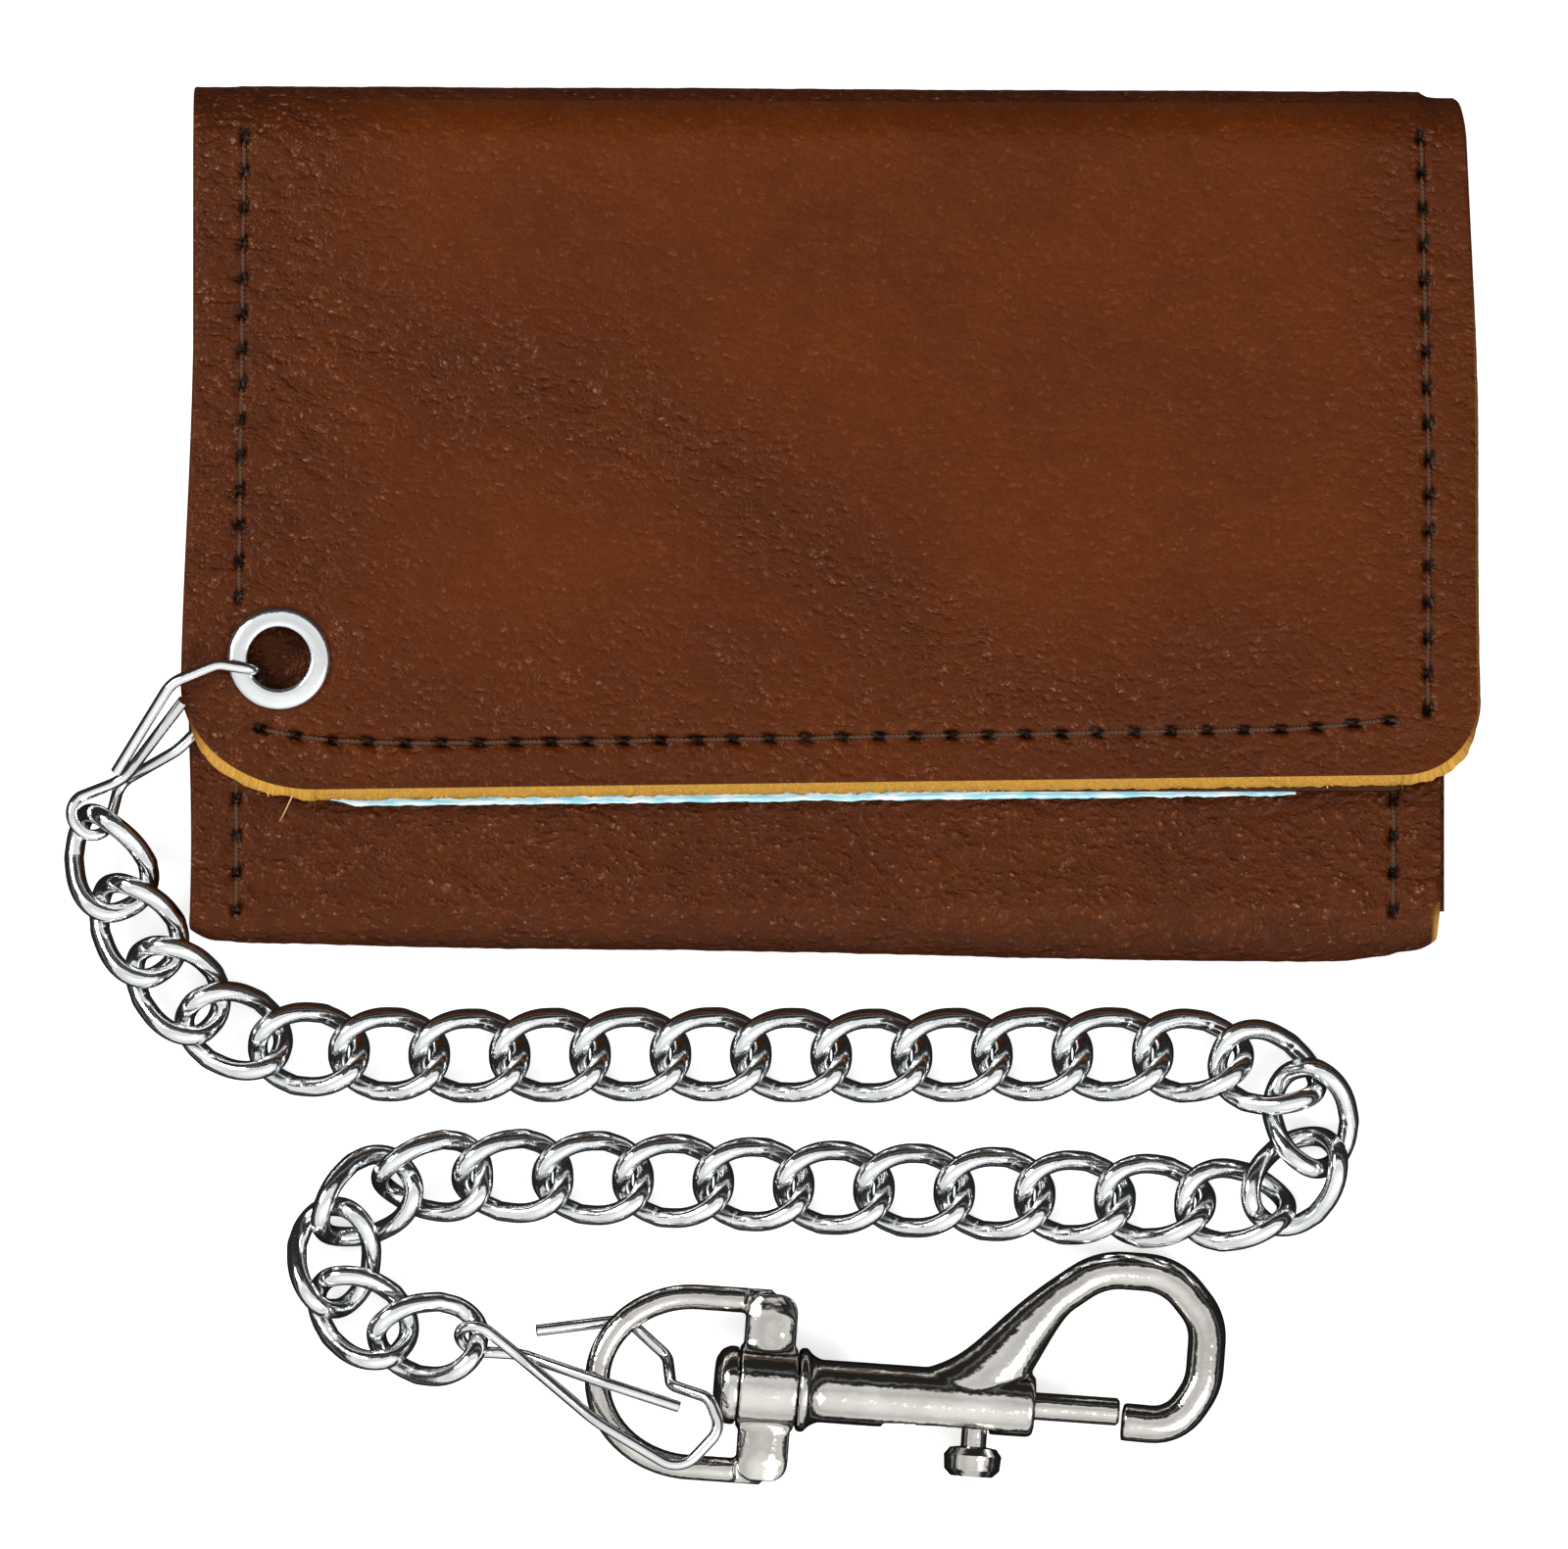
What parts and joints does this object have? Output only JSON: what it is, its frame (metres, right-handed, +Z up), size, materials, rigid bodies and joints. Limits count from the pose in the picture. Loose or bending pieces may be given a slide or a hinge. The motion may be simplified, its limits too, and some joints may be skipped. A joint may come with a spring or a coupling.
{
  "type": "chain wallet",
  "caption": "Trifold leather wallet with an eyelet in its flap, spring-wire clips, a steel curb chain and a swivel bolt snap for a belt loop.",
  "frame": {"origin": "centre of the closed wallet's back face, where it lies on a table", "axes": "+Z up out of the back face, +Y towards the top fold, +X towards the flap's right edge"},
  "size_m": [0.127, 0.1256, 0.0134],
  "materials": {
    "leather": "pebbled, oiled",
    "lining": "smooth, thin",
    "window": "clear soft vinyl",
    "thread": "waxed thread",
    "eyelet_metal": "bright nickel plate",
    "chain_metal": "polished nickel-plated steel",
    "spring_wire": "polished spring wire",
    "snap_metal": "nickel-plated zinc casting"
  },
  "bodies": {
    "back": {"back_panel": "leather", "top_fold": "leather", "bottom_fold": "leather", "bill_divider": "lining", "upper_card_pocket": "lining", "lower_card_pocket": "lining", "back_stitching": "thread"},
    "flap": {"flap_panel": "leather", "flap_lining": "lining", "id_window": "window", "flap_stitching": "thread", "eyelet": "eyelet_metal", "eyelet_washer": "eyelet_metal"},
    "lower": {"lower_panel": "leather", "coin_pocket_back": "lining", "coin_pocket_front": "lining", "lower_stitching": "thread"},
    "wallet_clip": {"wallet_clip": "spring_wire"},
    "link_01": {"link_01": "chain_metal"},
    "link_02": {"link_02": "chain_metal"},
    "link_03": {"link_03": "chain_metal"},
    "link_04": {"link_04": "chain_metal"},
    "link_05": {"link_05": "chain_metal"},
    "link_06": {"link_06": "chain_metal"},
    "link_07": {"link_07": "chain_metal"},
    "link_08": {"link_08": "chain_metal"},
    "link_09": {"link_09": "chain_metal"},
    "link_10": {"link_10": "chain_metal"},
    "link_11": {"link_11": "chain_metal"},
    "link_12": {"link_12": "chain_metal"},
    "link_13": {"link_13": "chain_metal"},
    "link_14": {"link_14": "chain_metal"},
    "link_15": {"link_15": "chain_metal"},
    "link_16": {"link_16": "chain_metal"},
    "link_17": {"link_17": "chain_metal"},
    "link_18": {"link_18": "chain_metal"},
    "link_19": {"link_19": "chain_metal"},
    "link_20": {"link_20": "chain_metal"},
    "link_21": {"link_21": "chain_metal"},
    "link_22": {"link_22": "chain_metal"},
    "link_23": {"link_23": "chain_metal"},
    "link_24": {"link_24": "chain_metal"},
    "link_25": {"link_25": "chain_metal"},
    "link_26": {"link_26": "chain_metal"},
    "link_27": {"link_27": "chain_metal"},
    "link_28": {"link_28": "chain_metal"},
    "link_29": {"link_29": "chain_metal"},
    "link_30": {"link_30": "chain_metal"},
    "link_31": {"link_31": "chain_metal"},
    "link_32": {"link_32": "chain_metal"},
    "link_33": {"link_33": "chain_metal"},
    "link_34": {"link_34": "chain_metal"},
    "hook_clip": {"hook_clip": "spring_wire"},
    "swivel_eye": {"swivel_eye": "snap_metal"},
    "snap": {"snap_body": "snap_metal"},
    "plunger": {"plunger": "snap_metal", "thumb_stud": "snap_metal", "plunger_spring": "spring_wire"}
  },
  "joints": [
    {"name": "flap_hinge", "type": "hinge", "parent": "back", "child": "flap", "pos_m": [0, 0.039, 0.00565], "axis": [-1, 0, 0], "range_deg": [0, 180], "deforming": ["top_fold"]},
    {"name": "lower_hinge", "type": "hinge", "parent": "back", "child": "lower", "pos_m": [0, -0.0385, 0.0036], "axis": [1, 0, 0], "range_deg": [0, 65], "deforming": ["bottom_fold"]},
    {"name": "wallet_clip_swing", "type": "hinge", "parent": "flap", "child": "wallet_clip", "pos_m": [-0.0498, -0.0124, 0.0113], "axis": [0, 0, -1], "range_deg": [0, 35]},
    {"name": "swivel_eye_tilt", "type": "hinge", "parent": "hook_clip", "child": "swivel_eye", "pos_m": [-0.02134, -0.07671, 0.0049], "axis": [0.0715, 0.9974, 0], "range_deg": [0, 8]},
    {"name": "snap_swivel", "type": "hinge", "parent": "swivel_eye", "child": "snap", "pos_m": [-0.00615, -0.0778, 0.00405], "axis": [0.9959, -0.0714, -0.0558], "continuous": true},
    {"name": "plunger_slide", "type": "slide", "parent": "snap", "child": "plunger", "axis": [-0.9959, 0.0714, 0.0558], "range_m": [0, 0.007], "stiffness_N_per_m": 150, "springref_m": -0.003, "deforming": ["plunger_spring"]},
    {"name": "hook_clip_swing", "type": "hinge", "parent": "link_34", "child": "hook_clip", "pos_m": [-0.03322, -0.07349, 0.0042], "axis": [0, 0, -1], "range_deg": [0, 12]},
    {"name": "link_01_turn", "type": "hinge", "parent": "wallet_clip", "child": "link_01", "pos_m": [-0.0662, -0.0275, 0.0064], "axis": [0, 0, -1], "range_deg": [0, 8]},
    {"name": "link_02_turn", "type": "hinge", "parent": "link_01", "child": "link_02", "pos_m": [-0.06419, -0.03369, 0.0053], "axis": [0, 0, -1], "range_deg": [0, 8]},
    {"name": "link_03_turn", "type": "hinge", "parent": "link_02", "child": "link_03", "pos_m": [-0.06113, -0.03943, 0.0042], "axis": [0, 0, -1], "range_deg": [0, 12]},
    {"name": "link_04_turn", "type": "hinge", "parent": "link_03", "child": "link_04", "pos_m": [-0.05694, -0.04443, 0.0032], "axis": [0, 0, -1], "range_deg": [0, 26]},
    {"name": "link_05_turn", "type": "hinge", "parent": "link_04", "child": "link_05", "pos_m": [-0.05076, -0.04718, 0.00246], "axis": [0, 0, -1], "range_deg": [0, 19]},
    {"name": "link_06_turn", "type": "hinge", "parent": "link_05", "child": "link_06", "pos_m": [-0.04368, -0.0478, 0.00246], "axis": [0.0349, 0.9994, 0], "range_deg": [-18, 18]},
    {"name": "link_07_turn", "type": "hinge", "parent": "link_06", "child": "link_07", "pos_m": [-0.03647, -0.04805, 0.00246], "axis": [0, -1, 0], "range_deg": [-18, 18]},
    {"name": "link_08_turn", "type": "hinge", "parent": "link_07", "child": "link_08", "pos_m": [-0.02925, -0.04805, 0.00246], "axis": [-0.0174, 0.9998, 0], "range_deg": [-18, 18]},
    {"name": "link_09_turn", "type": "hinge", "parent": "link_08", "child": "link_09", "pos_m": [-0.02203, -0.04793, 0.00246], "axis": [0, -1, 0], "range_deg": [-18, 18]},
    {"name": "link_10_turn", "type": "hinge", "parent": "link_09", "child": "link_10", "pos_m": [-0.01481, -0.04793, 0.00246], "axis": [0, 1, 0], "range_deg": [-18, 18]},
    {"name": "link_11_turn", "type": "hinge", "parent": "link_10", "child": "link_11", "pos_m": [-0.00759, -0.04793, 0.00246], "axis": [-0.0174, -0.9998, 0], "range_deg": [-18, 18]},
    {"name": "link_12_turn", "type": "hinge", "parent": "link_11", "child": "link_12", "pos_m": [-0.00037, -0.04805, 0.00246], "axis": [0, 1, 0], "range_deg": [-18, 18]},
    {"name": "link_13_turn", "type": "hinge", "parent": "link_12", "child": "link_13", "pos_m": [0.00685, -0.04805, 0.00246], "axis": [0.0174, -0.9998, 0], "range_deg": [-18, 18]},
    {"name": "link_14_turn", "type": "hinge", "parent": "link_13", "child": "link_14", "pos_m": [0.01407, -0.04793, 0.00246], "axis": [0, 1, 0], "range_deg": [-18, 18]},
    {"name": "link_15_turn", "type": "hinge", "parent": "link_14", "child": "link_15", "pos_m": [0.02129, -0.04793, 0.00263], "axis": [0, -1, 0], "range_deg": [-18, 18]},
    {"name": "link_16_turn", "type": "hinge", "parent": "link_15", "child": "link_16", "pos_m": [0.0285, -0.04793, 0.00286], "axis": [0.0349, 0.9994, 0], "range_deg": [-18, 18]},
    {"name": "link_17_turn", "type": "hinge", "parent": "link_16", "child": "link_17", "pos_m": [0.0356, -0.04818, 0.0032], "axis": [0, 0, 1], "range_deg": [0, 18]},
    {"name": "link_18_turn", "type": "hinge", "parent": "link_17", "child": "link_18", "pos_m": [0.04195, -0.05049, 0.0032], "axis": [0, 0, 1], "range_deg": [0, 56]},
    {"name": "link_19_turn", "type": "hinge", "parent": "link_18", "child": "link_19", "pos_m": [0.04353, -0.05681, 0.0032], "axis": [0, 0, 1], "range_deg": [0, 56]},
    {"name": "link_20_turn", "type": "hinge", "parent": "link_19", "child": "link_20", "pos_m": [0.03917, -0.06166, 0.0032], "axis": [0, 0, 1], "range_deg": [0, 51]},
    {"name": "link_21_turn", "type": "hinge", "parent": "link_20", "child": "link_21", "pos_m": [0.03231, -0.0613, 0.0032], "axis": [-0.0523, -0.9986, 0], "range_deg": [-18, 18]},
    {"name": "link_22_turn", "type": "hinge", "parent": "link_21", "child": "link_22", "pos_m": [0.02511, -0.06092, 0.00282], "axis": [0.0349, 0.9994, 0], "range_deg": [-18, 18]},
    {"name": "link_23_turn", "type": "hinge", "parent": "link_22", "child": "link_23", "pos_m": [0.0179, -0.06067, 0.00263], "axis": [-0.0523, -0.9986, 0], "range_deg": [-18, 18]},
    {"name": "link_24_turn", "type": "hinge", "parent": "link_23", "child": "link_24", "pos_m": [0.01069, -0.06029, 0.00246], "axis": [0.0349, 0.9994, 0], "range_deg": [-18, 18]},
    {"name": "link_25_turn", "type": "hinge", "parent": "link_24", "child": "link_25", "pos_m": [0.00347, -0.06004, 0.00246], "axis": [-0.0349, -0.9994, 0], "range_deg": [-18, 18]},
    {"name": "link_26_turn", "type": "hinge", "parent": "link_25", "child": "link_26", "pos_m": [-0.00374, -0.05979, 0.00246], "axis": [0.0523, 0.9986, 0], "range_deg": [-18, 18]},
    {"name": "link_27_turn", "type": "hinge", "parent": "link_26", "child": "link_27", "pos_m": [-0.01095, -0.05941, 0.00246], "axis": [-0.0349, -0.9994, 0], "range_deg": [-18, 18]},
    {"name": "link_28_turn", "type": "hinge", "parent": "link_27", "child": "link_28", "pos_m": [-0.01817, -0.05916, 0.00259], "axis": [0.0349, 0.9994, 0], "range_deg": [-18, 18]},
    {"name": "link_29_turn", "type": "hinge", "parent": "link_28", "child": "link_29", "pos_m": [-0.02538, -0.05891, 0.00276], "axis": [-0.0174, -0.9998, 0], "range_deg": [-18, 18]},
    {"name": "link_30_turn", "type": "hinge", "parent": "link_29", "child": "link_30", "pos_m": [-0.03259, -0.05878, 0.0032], "axis": [-0.0349, 0.9994, 0], "range_deg": [-18, 18]},
    {"name": "link_31_turn", "type": "hinge", "parent": "link_30", "child": "link_31", "pos_m": [-0.03954, -0.05902, 0.0032], "axis": [0, 0, -1], "range_deg": [0, 34]},
    {"name": "link_32_turn", "type": "hinge", "parent": "link_31", "child": "link_32", "pos_m": [-0.04489, -0.06291, 0.0032], "axis": [0, 0, -1], "range_deg": [0, 52]},
    {"name": "link_33_turn", "type": "hinge", "parent": "link_32", "child": "link_33", "pos_m": [-0.04512, -0.06943, 0.0032], "axis": [0, 0, -1], "range_deg": [0, 54]},
    {"name": "link_34_turn", "type": "hinge", "parent": "link_33", "child": "link_34", "pos_m": [-0.03991, -0.07349, 0.0033], "axis": [0, 0, -1], "range_deg": [0, 38]}
  ],
  "couplings": [
    {"joint": "lower_hinge", "follows": "flap_hinge", "ratio": 0.36}
  ]
}
